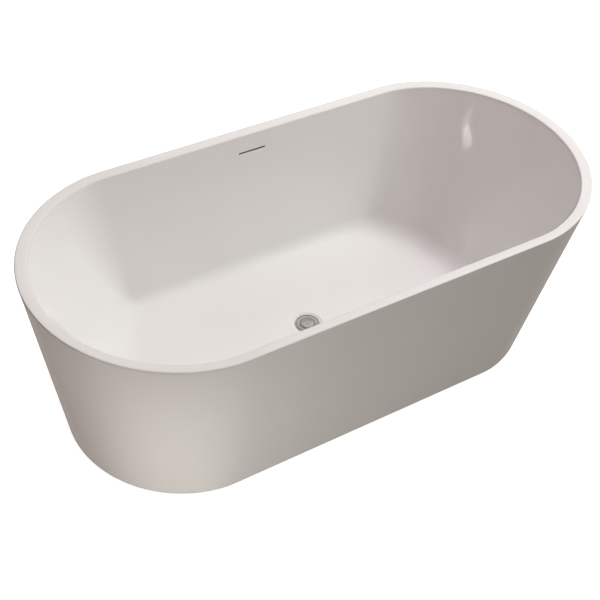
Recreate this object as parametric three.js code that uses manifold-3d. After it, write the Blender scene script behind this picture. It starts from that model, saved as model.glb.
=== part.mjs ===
// A freestanding double-walled bathtub: an acrylic basin bonded inside an acrylic skirt, carried by a
// steel frame on five screw feet, with a pop-up waste in the middle of the floor and a slot overflow.
// Millimetres, +Z up. +X runs along the bath and +Y points at the wall that holds the overflow slot.
// The origin is on the floor the bath stands on, under its centre.

import * as THREE from "three";
import { mergeVertices } from "three/addons/utils/BufferGeometryUtils.js";
import Module from "manifold-3d";

const wasm = await Module();
wasm.setup();

// Overall size
const bathLength = 1700;
const bathWidth = 800;
const bathHeight = 580;

// Clearance between pieces that touch or are bonded
const gap = 0.3;

// Rim: a band with rounded edges that falls a little towards the inside
const rimBand = 29.5;
const rimRound = 5;
const rimFall = 4.5;
const rimPlate = 6;
const archHeight = bathHeight - rimRound;

// Basin, inside surface. The walls are straight from the rim down to the line where they would meet the floor.
const floorLevel = 135;
const floorDip = 4;
const floorUnderside = 124;
const wallThickness = 6;
const endLean = 272.5;
const sideLean = 68.5;
const footCurve = { rise: 38, runEnd: 45, runSide: 28 };

// Skirt
const skirtClearance = 5;
const skirtThickness = 5;
const skirtFlange = 20;
const skirtReturn = 15;
const skirtEndLean = 105;
const skirtSideLean = 73.5;

// Overflow slot in the far wall
const slotLength = 88;
const slotHeight = 6;
const slotLevel = 520;

// Waste
const drainHoleRadius = 26;
const recessRadius = 40;
const recessRimRadius = 47;
const recessDepth = 3;
const flangeRadius = 36;
const tailRadius = 23;
const boreRadius = 20;
const tailEnd = 85;
const plugRadius = 21.6;
const plugStemRadius = 4.5;

// Base board and frame
const boardLength = 880;
const boardWidth = 440;
const boardThickness = 18;
const boardCorner = 80;
const boardOpeningRadius = 75;
const tubeSide = 25;
const tubeWall = 2;
const railLength = 800;
const railOffset = 170;
const crossLength = 450;
const crossPlaces = { left: -360, middle: 150, right: 360 };

// Screw feet, M12
const footPlaces = [
  [crossPlaces.left, -185],
  [crossPlaces.left, 185],
  [crossPlaces.middle, 0],
  [crossPlaces.right, -185],
  [crossPlaces.right, 185],
];
const studRadius = 6;
const studTop = 72;
const nutAcrossFlats = 18;
const weldNutHeight = 10;
const lockNutHeight = 7;
const padRadius = 25;
const padEdge = 5;
const padNeckRadius = 11.5;
const padNeckHeight = 2;
const padHeight = 14;
const padSocketFloor = 6;
const collarHeight = 6;

// Levels that follow from the sizes above
const boardTop = floorUnderside - gap;
const boardUnderside = boardTop - boardThickness;
const railTop = boardUnderside - gap;
const railUnderside = railTop - tubeSide;
const crossTop = railUnderside - gap;
const crossUnderside = crossTop - tubeSide;
const recessFloor = floorLevel - floorDip - recessDepth;

const finish = {
  acrylic: { color: 0xf1eeea, roughness: 0.12, metalness: 0 },
  plywood: { color: 0xc9a877, roughness: 0.75, metalness: 0 },
  galvanised: { color: 0xa9adb0, roughness: 0.45, metalness: 0.9 },
  zincPlated: { color: 0xb9bcc0, roughness: 0.3, metalness: 1 },
  blackPlastic: { color: 0x26272a, roughness: 0.6, metalness: 0 },
  chrome: { color: 0xd6d8da, roughness: 0.08, metalness: 1 },
  rubber: { color: 0x1c1c1d, roughness: 0.85, metalness: 0 },
  wastePlastic: { color: 0xdcdcd8, roughness: 0.45, metalness: 0 },
  hosePlastic: { color: 0xd2d4d6, roughness: 0.5, metalness: 0 },
};

const bath = new THREE.Group();

function addPiece(parent, name, geometry, material) {
  const piece = new THREE.Mesh(geometry, new THREE.MeshStandardMaterial(finish[material]));
  piece.name = name;
  parent.add(piece);
  return piece;
}

// ---- Joining and cutting -------------------------------------------------------------------------

function solid(geometry) {
  const bare = geometry.clone();
  bare.deleteAttribute("normal");
  bare.deleteAttribute("uv");
  const merged = mergeVertices(bare, 1e-3);
  return new wasm.Manifold(
    new wasm.Mesh({
      numProp: 3,
      vertProperties: new Float32Array(merged.attributes.position.array),
      triVerts: new Uint32Array(merged.index.array),
    }),
  );
}

function geometryOf(body) {
  const mesh = body.getMesh();
  const geometry = new THREE.BufferGeometry();
  geometry.setAttribute("position", new THREE.BufferAttribute(mesh.vertProperties, 3));
  geometry.setIndex(new THREE.BufferAttribute(mesh.triVerts, 1));
  geometry.computeVertexNormals();
  return geometry;
}

function cut(geometry, ...tools) {
  return geometryOf(tools.reduce((body, tool) => body.subtract(solid(tool)), solid(geometry)));
}

function join(geometry, ...others) {
  return geometryOf(others.reduce((body, other) => body.add(solid(other)), solid(geometry)));
}

// ---- Basic shapes --------------------------------------------------------------------------------

// A body turned about the Z axis; the profile is a closed list of [radius, height], anticlockwise.
function turned(profile, segments) {
  const points = profile.map(([radius, height]) => new THREE.Vector2(radius, height));
  points.push(points[0].clone());
  return new THREE.LatheGeometry(points, segments).rotateX(Math.PI / 2);
}

function ring(innerRadius, outerRadius, bottom, top, segments) {
  return turned(
    [
      [innerRadius, bottom],
      [outerRadius, bottom],
      [outerRadius, top],
      [innerRadius, top],
    ],
    segments,
  );
}

// An upright cylinder between two heights.
function post(radius, bottom, top, segments) {
  const height = top - bottom;
  return new THREE.CylinderGeometry(radius, radius, height, segments)
    .rotateX(Math.PI / 2)
    .translate(0, 0, bottom + height / 2);
}

function block(lengthX, widthY, heightZ, x, y, z) {
  return new THREE.BoxGeometry(lengthX, widthY, heightZ).translate(x, y, z);
}

function hexagon(acrossFlats) {
  const corner = acrossFlats / Math.sqrt(3);
  const shape = new THREE.Shape();
  for (let i = 0; i < 6; i++) {
    const angle = (i * Math.PI) / 3;
    shape[i ? "lineTo" : "moveTo"](corner * Math.cos(angle), corner * Math.sin(angle));
  }
  return shape.closePath();
}

function hexNut(acrossFlats, boreRadius, bottom, height, curveSegments = 6) {
  const shape = hexagon(acrossFlats);
  shape.holes.push(new THREE.Path().absarc(0, 0, boreRadius, 0, 2 * Math.PI, true));
  return new THREE.ExtrudeGeometry(shape, { depth: height, bevelEnabled: false, curveSegments })
    .translate(0, 0, bottom);
}

// ---- The bath's outlines -------------------------------------------------------------------------

// An outline is an oval like a running track whose end is one wide arc: half length, half width, radius of
// the end arc, and radius of the corner arc that joins it to the straight side, at a height.
const along = (from, to, share) => {
  const mixed = {};
  for (const key of Object.keys(from)) mixed[key] = from[key] + (to[key] - from[key]) * share;
  return mixed;
};

const grown = (outline, by, height = outline.height) => ({
  halfLength: outline.halfLength + by,
  halfWidth: outline.halfWidth + by,
  endRadius: outline.endRadius + by,
  cornerRadius: outline.cornerRadius + by,
  height,
});

const arcSteps = 8;
const cornerSteps = 4;
const sideSteps = 2;

// The points of one quarter, from the +X end round to the middle of the +Y side.
function quarter({ halfLength, halfWidth, endRadius, cornerRadius }) {
  const endCentre = halfLength - endRadius;
  const cornerX =
    endCentre + Math.sqrt((endRadius - cornerRadius) ** 2 - (halfWidth - cornerRadius) ** 2);
  const cornerY = halfWidth - cornerRadius;
  const turn = Math.atan2(cornerY, cornerX - endCentre);
  const end = new THREE.EllipseCurve(endCentre, 0, endRadius, endRadius, 0, turn);
  const corner = new THREE.EllipseCurve(cornerX, cornerY, cornerRadius, cornerRadius, turn, Math.PI / 2);
  const side = new THREE.LineCurve(
    new THREE.Vector2(cornerX, halfWidth),
    new THREE.Vector2(0, halfWidth),
  );
  return [
    ...end.getPoints(arcSteps),
    ...corner.getPoints(cornerSteps).slice(1),
    ...side.getPoints(sideSteps).slice(1),
  ];
}

function outlineRing(outline) {
  const first = quarter(outline);
  const mirrored = first.slice(0, -1).reverse();
  const half = [...first, ...mirrored.map((p) => new THREE.Vector2(-p.x, p.y))];
  const back = half.slice(1, -1).reverse();
  const all = [...half, ...back.map((p) => new THREE.Vector2(p.x, -p.y))];
  return all.map((p) => new THREE.Vector3(p.x, p.y, outline.height));
}

// A circle about the Z axis whose points lie in the directions of an outline's points.
function circleRing(like, radius, height) {
  return like.map((p) => {
    const angle = Math.atan2(p.y, p.x);
    return new THREE.Vector3(radius * Math.cos(angle), radius * Math.sin(angle), height);
  });
}

const between = (ringA, ringB, share, height) =>
  ringA.map((p, i) => new THREE.Vector3().lerpVectors(p, ringB[i], share).setZ(height));

// A closed body through rings of equally many points; the last ring joins the first. The rings climb the
// outside of the body and come down its inside.
function loft(rings) {
  const count = rings[0].length;
  const positions = rings.flat().flatMap((p) => [p.x, p.y, p.z]);
  const faces = [];
  rings.forEach((_, r) => {
    const here = r * count;
    const next = ((r + 1) % rings.length) * count;
    for (let i = 0; i < count; i++) {
      const j = (i + 1) % count;
      faces.push(here + i, here + j, next + i, here + j, next + j, next + i);
    }
  });
  const geometry = new THREE.BufferGeometry();
  geometry.setAttribute("position", new THREE.Float32BufferAttribute(positions, 3));
  geometry.setIndex(faces);
  geometry.computeVertexNormals();
  return geometry;
}

// ---- Basin ---------------------------------------------------------------------------------------

const basinMouth = {
  halfLength: bathLength / 2 - rimBand,
  halfWidth: bathWidth / 2 - rimBand,
  endRadius: bathWidth / 2 - rimBand + 1.5,
  cornerRadius: 300,
  height: archHeight,
};
// Where the straight walls would meet the floor
const basinToe = {
  halfLength: basinMouth.halfLength - endLean,
  halfWidth: basinMouth.halfWidth - sideLean,
  endRadius: 430,
  cornerRadius: 35,
  height: floorLevel,
};
const basinFloor = {
  halfLength: basinToe.halfLength - footCurve.runEnd,
  halfWidth: basinToe.halfWidth - footCurve.runSide,
  endRadius: 395,
  cornerRadius: 55,
  height: floorLevel,
};

const wallShare = (height) => (archHeight - height) / (archHeight - floorLevel);
const basinWallAt = (height) => along(basinMouth, basinToe, wallShare(height));
const basinWallBack = (height) => grown(basinWallAt(height), wallThickness, height);

// The rim, from the line where it meets the wall out to its outer edge
const rimStart = basinWallAt(archHeight - rimFall);
const rimEnd = grown(basinMouth, rimBand);
const rimAt = (out, height) => ({ ...along(rimStart, rimEnd, out / rimBand), height });

// A smooth bend through three outlines: it leaves the first towards the second and arrives at the third.
const bend = (from, knee, to, share) => along(along(from, knee, share), along(knee, to, share), share);

function basinShell() {
  const bendShares = [0, 0.2, 0.4, 0.6, 0.8, 1];
  const wallShares = [0.15, 0.35, 0.6, 0.82];
  const footTop = floorLevel + footCurve.rise;

  const floorRing = outlineRing(basinFloor);
  const recessRim = circleRing(floorRing, recessRimRadius, floorLevel - floorDip);
  const undersideToe = grown(basinWallAt(floorUnderside), wallThickness, floorUnderside);
  const undersideFloor = { ...basinFloor, height: floorUnderside };

  // From the drain hole's lower edge out along the floor, up to the rim and over it
  const rings = [
    circleRing(floorRing, drainHoleRadius, floorUnderside),
    circleRing(floorRing, drainHoleRadius, recessFloor),
    circleRing(floorRing, recessRadius, recessFloor),
    recessRim,
    between(recessRim, floorRing, 0.45, floorLevel - floorDip * 0.5),
  ];
  for (const share of [...bendShares].reverse()) {
    rings.push(outlineRing(bend(basinWallAt(footTop), basinToe, basinFloor, share)));
  }
  for (const share of [...wallShares].reverse()) {
    rings.push(outlineRing(basinWallAt(archHeight - share * (archHeight - footTop))));
  }
  const fallAt = (out) => rimFall * (1 - out / (rimBand - rimRound));
  const rimProfile = [
    [0, archHeight - fallAt(0)],
    [rimRound * 0.3, bathHeight - rimRound * 0.3 - fallAt(rimRound * 0.3)],
    [rimRound, bathHeight - fallAt(rimRound)],
    [rimBand - rimRound, bathHeight],
    [rimBand - rimRound * 0.3, bathHeight - rimRound * 0.3],
    [rimBand, archHeight],
    [rimBand, bathHeight - rimPlate],
    [rimBand - skirtFlange - 1, bathHeight - rimPlate],
    [wallThickness, bathHeight - rimPlate - 2],
  ];
  for (const [out, height] of rimProfile) rings.push(outlineRing(rimAt(out, height)));
  // Down the back of the wall and under the floor to the hole again
  for (const share of wallShares) {
    rings.push(outlineRing(basinWallBack(archHeight - share * (archHeight - footTop))));
  }
  for (const share of bendShares) {
    rings.push(outlineRing(bend(basinWallBack(footTop), undersideToe, undersideFloor, share)));
  }
  const slot = block(
    slotLength, 40, slotHeight,
    0, basinWallAt(slotLevel).halfWidth, slotLevel,
  );
  return cut(loft(rings.reverse()), slot);
}
addPiece(bath, "basin_shell", basinShell(), "acrylic");

// ---- Skirt ---------------------------------------------------------------------------------------

const skirtTop = bathHeight - rimPlate - gap;
const skirtMouth = grown(basinMouth, rimBand);
const skirtFoot = {
  halfLength: bathLength / 2 - skirtEndLean,
  halfWidth: bathWidth / 2 - skirtSideLean,
  endRadius: bathWidth / 2 - skirtSideLean + 1.5,
  cornerRadius: 260,
  height: skirtClearance,
};
const skirtAt = (height) =>
  along(skirtFoot, skirtMouth, (height - skirtClearance) / (archHeight - skirtClearance));

function outerSkirt() {
  const stations = [0, 0.33, 0.66, 1];
  const outer = stations.map((s) => skirtAt(skirtClearance + s * (skirtTop - skirtClearance)));
  const flangeUnderside = skirtTop - skirtThickness;
  const returnTop = skirtClearance + skirtThickness;
  const rings = [
    ...outer.map(outlineRing),
    outlineRing(grown(skirtAt(skirtTop), -skirtFlange, skirtTop)),
    outlineRing(grown(skirtAt(flangeUnderside), -skirtFlange, flangeUnderside)),
    outlineRing(grown(skirtAt(flangeUnderside), -skirtThickness, flangeUnderside)),
    outlineRing(grown(skirtAt(returnTop), -skirtThickness, returnTop)),
    outlineRing(grown(skirtAt(returnTop), -skirtReturn, returnTop)),
    outlineRing(grown(skirtAt(skirtClearance), -skirtReturn, skirtClearance)),
  ];
  return loft(rings);
}
addPiece(bath, "outer_skirt", outerSkirt(), "acrylic");

// ---- Base board ----------------------------------------------------------------------------------

const screwPlaces = [-300, 0, 300].flatMap((x) => [
  [x, -railOffset],
  [x, railOffset],
]);
const woodScrew = { radius: 2.5, bite: 12, headRadius: 5, headHeight: 3 };

function baseBoard() {
  const x = boardLength / 2 - boardCorner;
  const y = boardWidth / 2 - boardCorner;
  const shape = new THREE.Shape()
    .absarc(x, y, boardCorner, 0, Math.PI / 2)
    .absarc(-x, y, boardCorner, Math.PI / 2, Math.PI)
    .absarc(-x, -y, boardCorner, Math.PI, 1.5 * Math.PI)
    .absarc(x, -y, boardCorner, 1.5 * Math.PI, 2 * Math.PI);
  shape.holes.push(new THREE.Path().absarc(0, 0, boardOpeningRadius, 0, 2 * Math.PI, true));
  const board = new THREE.ExtrudeGeometry(shape, {
    depth: boardThickness,
    bevelEnabled: false,
    curveSegments: 8,
  }).translate(0, 0, boardUnderside);
  const pilots = screwPlaces.map(([px, py]) =>
    post(woodScrew.radius + gap, boardUnderside - 1, boardUnderside + woodScrew.bite + gap, 8)
      .translate(px, py, 0),
  );
  return cut(board, ...pilots);
}
addPiece(bath, "base_board", baseBoard(), "plywood");

// ---- Steel frame ---------------------------------------------------------------------------------

// A square tube along X, centred on the origin.
function squareTube(length) {
  const side = tubeSide / 2;
  const bore = side - tubeWall;
  const shape = new THREE.Shape()
    .moveTo(-side, -side)
    .lineTo(side, -side)
    .lineTo(side, side)
    .lineTo(-side, side)
    .closePath();
  shape.holes.push(
    new THREE.Path()
      .moveTo(-bore, -bore)
      .lineTo(-bore, bore)
      .lineTo(bore, bore)
      .lineTo(bore, -bore)
      .closePath(),
  );
  return new THREE.ExtrudeGeometry(shape, { depth: length, bevelEnabled: false })
    .translate(0, 0, -length / 2)
    .rotateY(Math.PI / 2);
}

for (const [name, y] of [["front", -railOffset], ["rear", railOffset]]) {
  const holes = screwPlaces
    .filter(([, py]) => py === y)
    .map(([px]) => post(woodScrew.radius + gap, -tubeSide, tubeSide, 8).translate(px, 0, 0));
  const rail = addPiece(bath, `long_rail_${name}`, cut(squareTube(railLength), ...holes), "galvanised");
  rail.position.set(0, y, railTop - tubeSide / 2);
}

const bracketScrewY = 212;
const bracketScrew = { radius: 2, bite: 8, headRadius: 4.5, headHeight: 3 };

function crossMember(x) {
  const feet = footPlaces.filter(([footX]) => footX === x).map(([, y]) => y);
  const studHoles = feet.map((y) => post(studRadius + 0.5, -tubeSide, 0, 12).translate(0, y, 0));
  const screwHoles = x === crossPlaces.middle ? [] : [-bracketScrewY, bracketScrewY].map((y) =>
    post(bracketScrew.radius + gap, -tubeSide, 0, 8).translate(0, y, 0));
  return cut(squareTube(crossLength).rotateZ(Math.PI / 2), ...studHoles, ...screwHoles);
}

for (const [name, x] of Object.entries(crossPlaces)) {
  const member = addPiece(bath, `cross_member_${name}`, crossMember(x), "galvanised");
  member.position.set(x, 0, crossTop - tubeSide / 2);
}

function screwGeometry({ radius, headRadius, headHeight }, reach) {
  return turned(
    [
      [0, -headHeight],
      [headRadius, -headHeight],
      [headRadius, 0],
      [radius, 0],
      [radius, reach - radius],
      [0, reach],
    ],
    6,
  );
}

screwPlaces.forEach(([x, y], i) => {
  const reach = tubeSide + gap + woodScrew.bite;
  const screw = addPiece(bath, `rail_screw_${i + 1}`, screwGeometry(woodScrew, reach), "zincPlated");
  screw.position.set(x, y, railUnderside - gap);
});

// ---- Feet ----------------------------------------------------------------------------------------

const weldNutBottom = crossUnderside - gap - weldNutHeight;
const lockNutBottom = weldNutBottom - gap - lockNutHeight;
const studBoreRadius = studRadius + gap;

function footPad() {
  return turned(
    [
      [0, 0],
      [padRadius, 0],
      [padRadius, padEdge],
      [padNeckRadius, padHeight - padNeckHeight],
      [padNeckRadius, padHeight],
      [studBoreRadius, padHeight],
      [studBoreRadius, padSocketFloor],
      [0, padSocketFloor],
    ],
    16,
  );
}

// The threaded stud, with the hexagon that a spanner turns it by.
function footStud() {
  const shaft = post(studRadius, padSocketFloor + gap, studTop, 12);
  const collar = new THREE.ExtrudeGeometry(hexagon(nutAcrossFlats - 1), {
    depth: collarHeight,
    bevelEnabled: false,
  }).translate(0, 0, padHeight + gap);
  return join(shaft, collar);
}

footPlaces.forEach(([x, y], i) => {
  const foot = new THREE.Group();
  foot.position.set(x, y, 0);
  bath.add(foot);
  const number = i + 1;
  addPiece(foot, `foot_pad_${number}`, footPad(), "blackPlastic");
  addPiece(foot, `foot_stud_${number}`, footStud(), "zincPlated");
  addPiece(
    foot,
    `weld_nut_${number}`,
    hexNut(nutAcrossFlats, studBoreRadius, weldNutBottom, weldNutHeight),
    "zincPlated",
  );
  addPiece(
    foot,
    `lock_nut_${number}`,
    hexNut(nutAcrossFlats, studBoreRadius, lockNutBottom, lockNutHeight),
    "zincPlated",
  );
});

// ---- Brackets between frame and skirt ------------------------------------------------------------

const bracketThickness = 3;
const bracketWidth = 30;
const bracketInner = 199;
const bracketUpstand = 40;

// A bent strip: flat under the end of the cross member, then up along the leaning skirt.
function skirtBracket() {
  const top = crossUnderside - gap;
  const bottom = top - bracketThickness;
  const skirtFace = (height) => skirtAt(height).halfWidth - skirtThickness - gap;
  const tip = top + bracketUpstand;
  const shape = new THREE.Shape()
    .moveTo(bracketInner, bottom)
    .lineTo(skirtFace(bottom), bottom)
    .lineTo(skirtFace(tip), tip)
    .lineTo(skirtFace(tip) - bracketThickness, tip)
    .lineTo(skirtFace(top) - bracketThickness, top)
    .lineTo(bracketInner, top)
    .closePath();
  const strip = new THREE.ExtrudeGeometry(shape, { depth: bracketWidth, bevelEnabled: false })
    .translate(0, 0, -bracketWidth / 2)
    .applyMatrix4(new THREE.Matrix4().makeBasis(
      new THREE.Vector3(0, 1, 0),
      new THREE.Vector3(0, 0, 1),
      new THREE.Vector3(1, 0, 0),
    ));
  const hole = post(bracketScrew.radius + gap, bottom - 1, top + 1, 8).translate(0, bracketScrewY, 0);
  return cut(strip, hole);
}

[crossPlaces.left, crossPlaces.right].forEach((x, i) => {
  [0, Math.PI].forEach((turn, j) => {
    const corner = new THREE.Group();
    corner.position.set(x, 0, 0);
    corner.rotation.z = turn;
    bath.add(corner);
    const number = 2 * i + j + 1;
    addPiece(corner, `skirt_bracket_${number}`, skirtBracket(), "galvanised");
    const reach = bracketThickness + gap + tubeWall + bracketScrew.bite;
    const screw = addPiece(
      corner,
      `bracket_screw_${number}`,
      screwGeometry(bracketScrew, reach),
      "zincPlated",
    );
    screw.position.set(0, bracketScrewY, crossUnderside - gap - bracketThickness - gap);
  });
});

// ---- Waste ---------------------------------------------------------------------------------------

const upperSeal = { thickness: 1.5, inset: 2 };
const flangeUnderside = recessFloor + gap + upperSeal.thickness + gap;
// Heights of the flange's top face above its underside, from the edge in to the throat
const flangeFace = { edge: 1.4, crest: 2.2, crestInset: 1.2, slope: 1.3, slopeInset: 6, throat: 0.9 };
const throat = { radius: 22.6, depth: 2.5 };
const spider = { bottom: 98, top: 110, armWidth: 3, bossRadius: 11, bossBore: 8.3 };
const cartridge = { bottom: 92, top: 120, radius: 8 };

function drainFlange() {
  const body = turned(
    [
      [boreRadius, tailEnd],
      [tailRadius, tailEnd],
      [tailRadius, flangeUnderside],
      [flangeRadius, flangeUnderside],
      [flangeRadius, flangeUnderside + flangeFace.edge],
      [flangeRadius - flangeFace.crestInset, flangeUnderside + flangeFace.crest],
      [flangeRadius - flangeFace.slopeInset, flangeUnderside + flangeFace.slope],
      [throat.radius, flangeUnderside + flangeFace.throat],
      [boreRadius, flangeUnderside - throat.depth],
    ],
    28,
  );
  const middle = (spider.bottom + spider.top) / 2;
  const height = spider.top - spider.bottom;
  const span = 2 * boreRadius + 2;
  const arms = [
    block(span, spider.armWidth, height, 0, 0, middle),
    block(spider.armWidth, span, height, 0, 0, middle),
  ];
  const boss = post(spider.bossRadius, spider.bottom, spider.top, 20);
  const bore = post(spider.bossBore, spider.bottom - 1, spider.top + 1, 20);
  return cut(join(body, ...arms, boss), bore);
}

// The plug is one moving piece: cap, seal and the stem that slides in the cartridge.
const capLevel = flangeUnderside - 0.2;
const plugCrown = 3.2;
const stemHead = { radius: 11, height: 6.6 };
const plugSeal = { thickness: 2.7, clearance: 0.6 };

function plugCap() {
  return turned(
    [
      [0, capLevel],
      [plugRadius - 1, capLevel],
      [plugRadius, capLevel + 0.6],
      [plugRadius - 0.6, capLevel + 1.5],
      [plugRadius - 5, capLevel + 2.4],
      [plugRadius - 13, capLevel + 3],
      [0, capLevel + plugCrown],
    ],
    28,
  );
}

function plugStem() {
  const neck = capLevel - gap - stemHead.height;
  return turned(
    [
      [0, cartridge.bottom + 4],
      [plugStemRadius, cartridge.bottom + 4],
      [plugStemRadius, neck],
      [stemHead.radius, neck],
      [stemHead.radius, capLevel - gap],
      [0, capLevel - gap],
    ],
    16,
  );
}

const lowerSeal = { top: floorUnderside - gap, thickness: 3, radius: 34 };
const wasteNut = { acrossFlats: 62, height: 10 };
const wasteNutTop = lowerSeal.top - lowerSeal.thickness - gap;
const slipNutSize = { radius: 31, rise: 13, lip: 4 };
const teeCollar = { radius: 26, height: 4 };
const teeTop = tailEnd - gap;
const outletEnd = 35;
const teeRadius = 20;
const teeBore = 17.5;
const hoseLevel = 62;
const branchSleeve = { radius: 11, end: 40 };
const barbEnd = 78;
const barbRadius = 6;
const barbWall = 1.7;

// A tube from the drain down to the outlet, with a ribbed side branch for the overflow hose.
function wasteTee() {
  const tube = turned(
    [
      [teeBore, outletEnd],
      [teeRadius, outletEnd],
      [teeRadius, teeTop - teeCollar.height],
      [teeCollar.radius, teeTop - teeCollar.height],
      [teeCollar.radius, teeTop],
      [teeBore, teeTop],
    ],
    24,
  );
  const branch = (radius, from, to) =>
    post(radius, from, to, 16).rotateX(-Math.PI / 2).translate(0, 0, hoseLevel);
  const sleeve = branch(branchSleeve.radius, teeBore + 1, branchSleeve.end);
  const barb = branch(barbRadius, branchSleeve.end - 2, barbEnd);
  return cut(join(tube, sleeve, barb), branch(barbRadius - barbWall, teeBore - 4, barbEnd + 1));
}

function slipNut() {
  const thread = tailRadius + gap;
  const top = tailEnd + slipNutSize.rise;
  const lipTop = teeTop - teeCollar.height - gap;
  const bottom = lipTop - slipNutSize.lip;
  return turned(
    [
      [teeRadius + gap, bottom],
      [slipNutSize.radius, bottom],
      [slipNutSize.radius, top],
      [thread, top],
      [thread, tailEnd + gap],
      [teeCollar.radius + gap, tailEnd + gap],
      [teeCollar.radius + gap, lipTop],
      [teeRadius + gap, lipTop],
    ],
    24,
  );
}

addPiece(bath, "drain_flange", drainFlange(), "chrome");
addPiece(
  bath,
  "drain_gasket_upper",
  ring(tailRadius + gap, flangeRadius - upperSeal.inset, recessFloor + gap, flangeUnderside - gap, 20),
  "rubber",
);
addPiece(
  bath,
  "drain_gasket_lower",
  ring(tailRadius + gap, lowerSeal.radius, wasteNutTop + gap, lowerSeal.top, 20),
  "rubber",
);
addPiece(
  bath,
  "drain_lock_nut",
  hexNut(wasteNut.acrossFlats, tailRadius + gap, wasteNutTop - wasteNut.height, wasteNut.height, 14),
  "wastePlastic",
);
addPiece(
  bath,
  "plug_cartridge",
  ring(plugStemRadius + gap, cartridge.radius, cartridge.bottom, cartridge.top, 16),
  "wastePlastic",
);
addPiece(bath, "plug_cap", plugCap(), "chrome");
addPiece(bath, "plug_stem", plugStem(), "wastePlastic");
addPiece(
  bath,
  "plug_seal",
  ring(
    stemHead.radius + gap, boreRadius - plugSeal.clearance,
    capLevel - gap - plugSeal.thickness, capLevel - gap, 20,
  ),
  "rubber",
);
addPiece(bath, "waste_tee", wasteTee(), "wastePlastic");
addPiece(bath, "tee_slip_nut", slipNut(), "wastePlastic");

// ---- Overflow ------------------------------------------------------------------------------------

const overflowPlate = { length: 116, height: 34 };
const chamberDepth = 16.5;
const chamberWall = 2.5;
const gasketThickness = 1.5;
const windowMargin = { length: 4, height: 8 };
const hoseOffset = 9.8;
const spigotEnd = -46;
const spigotGrip = 22;
const hoseRadius = 8;
const hoseBore = 6.6;

const wallLean = Math.atan(sideLean / (archHeight - floorLevel));
const overflow = new THREE.Group();
overflow.position.set(0, basinWallBack(slotLevel).halfWidth, slotLevel);
overflow.rotation.x = -wallLean;
bath.add(overflow);

function overflowGasket() {
  const middle = gap + gasketThickness / 2;
  const sheet = block(overflowPlate.length, gasketThickness, overflowPlate.height, 0, middle, 0);
  const window = block(
    slotLength + windowMargin.length, 10, slotHeight + windowMargin.height,
    0, middle, 0,
  );
  return cut(sheet, window);
}

// A shallow box behind the slot, open towards it, that drains through a spigot in its underside.
function overflowChamber() {
  const front = 2 * gap + gasketThickness;
  const depth = chamberDepth - front;
  const body = block(overflowPlate.length, depth, overflowPlate.height, 0, front + depth / 2, 0);
  const hollow = block(
    overflowPlate.length - 2 * chamberWall, depth, overflowPlate.height - 2 * chamberWall,
    0, front + depth / 2 - chamberWall, 0,
  );
  const spigot = post(barbRadius, spigotEnd, 2 - overflowPlate.height / 2, 16).translate(0, hoseOffset, 0);
  const bore = post(barbRadius - barbWall, spigotEnd - 1, 0, 16).translate(0, hoseOffset, 0);
  return cut(join(cut(body, hollow), spigot), bore);
}

addPiece(overflow, "overflow_gasket", overflowGasket(), "rubber");
addPiece(overflow, "overflow_chamber", overflowChamber(), "blackPlastic");

// The hose runs down between basin and skirt, under the rear rail and on to the tee.
const hoseStart = new THREE.Vector3(0, hoseOffset, spigotEnd + spigotGrip)
  .applyEuler(new THREE.Euler(-wallLean, 0, 0))
  .add(overflow.position);
const betweenWalls = (height) =>
  (basinWallBack(height).halfWidth + skirtAt(height).halfWidth - skirtThickness) / 2;
const hoseRoute = new THREE.CatmullRomCurve3([
  hoseStart,
  new THREE.Vector3(0, hoseStart.y - 20 * Math.tan(wallLean), hoseStart.z - 20),
  new THREE.Vector3(0, betweenWalls(380), 380),
  new THREE.Vector3(0, betweenWalls(280), 280),
  new THREE.Vector3(0, betweenWalls(190), 190),
  new THREE.Vector3(0, betweenWalls(135) - 1, 130),
  new THREE.Vector3(0, 292, 82),
  new THREE.Vector3(0, 240, 64),
  new THREE.Vector3(0, 180, hoseLevel),
  new THREE.Vector3(0, 110, hoseLevel),
  new THREE.Vector3(0, 44, hoseLevel),
]);

function overflowHose() {
  const section = new THREE.Shape().absarc(0, 0, hoseRadius, 0, 2 * Math.PI);
  section.holes.push(new THREE.Path().absarc(0, 0, hoseBore, 0, 2 * Math.PI, true));
  return new THREE.ExtrudeGeometry(section, {
    extrudePath: hoseRoute,
    steps: 32,
    bevelEnabled: false,
    curveSegments: 4,
  });
}
addPiece(bath, "overflow_hose", overflowHose(), "hosePlastic");

// A band clamp round the hose where it sits on its spigot.
const clamp = { thickness: 0.8, width: 9, upperGrip: 12, lowerPlace: 58 };
const clampBand = () =>
  ring(hoseRadius + gap, hoseRadius + gap + clamp.thickness, -clamp.width / 2, clamp.width / 2, 16);
const upperClamp = addPiece(bath, "hose_clamp_upper", clampBand(), "zincPlated");
upperClamp.position.copy(new THREE.Vector3(0, hoseOffset, spigotEnd + clamp.upperGrip)
  .applyEuler(new THREE.Euler(-wallLean, 0, 0))
  .add(overflow.position));
upperClamp.rotation.x = -wallLean;
const lowerClamp = addPiece(bath, "hose_clamp_lower", clampBand(), "zincPlated");
lowerClamp.position.set(0, clamp.lowerPlace, hoseLevel);
lowerClamp.rotation.x = Math.PI / 2;

export default bath;
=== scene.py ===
import math

import bmesh
import bpy
import numpy as np
from mathutils import Euler, Matrix, Vector


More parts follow.
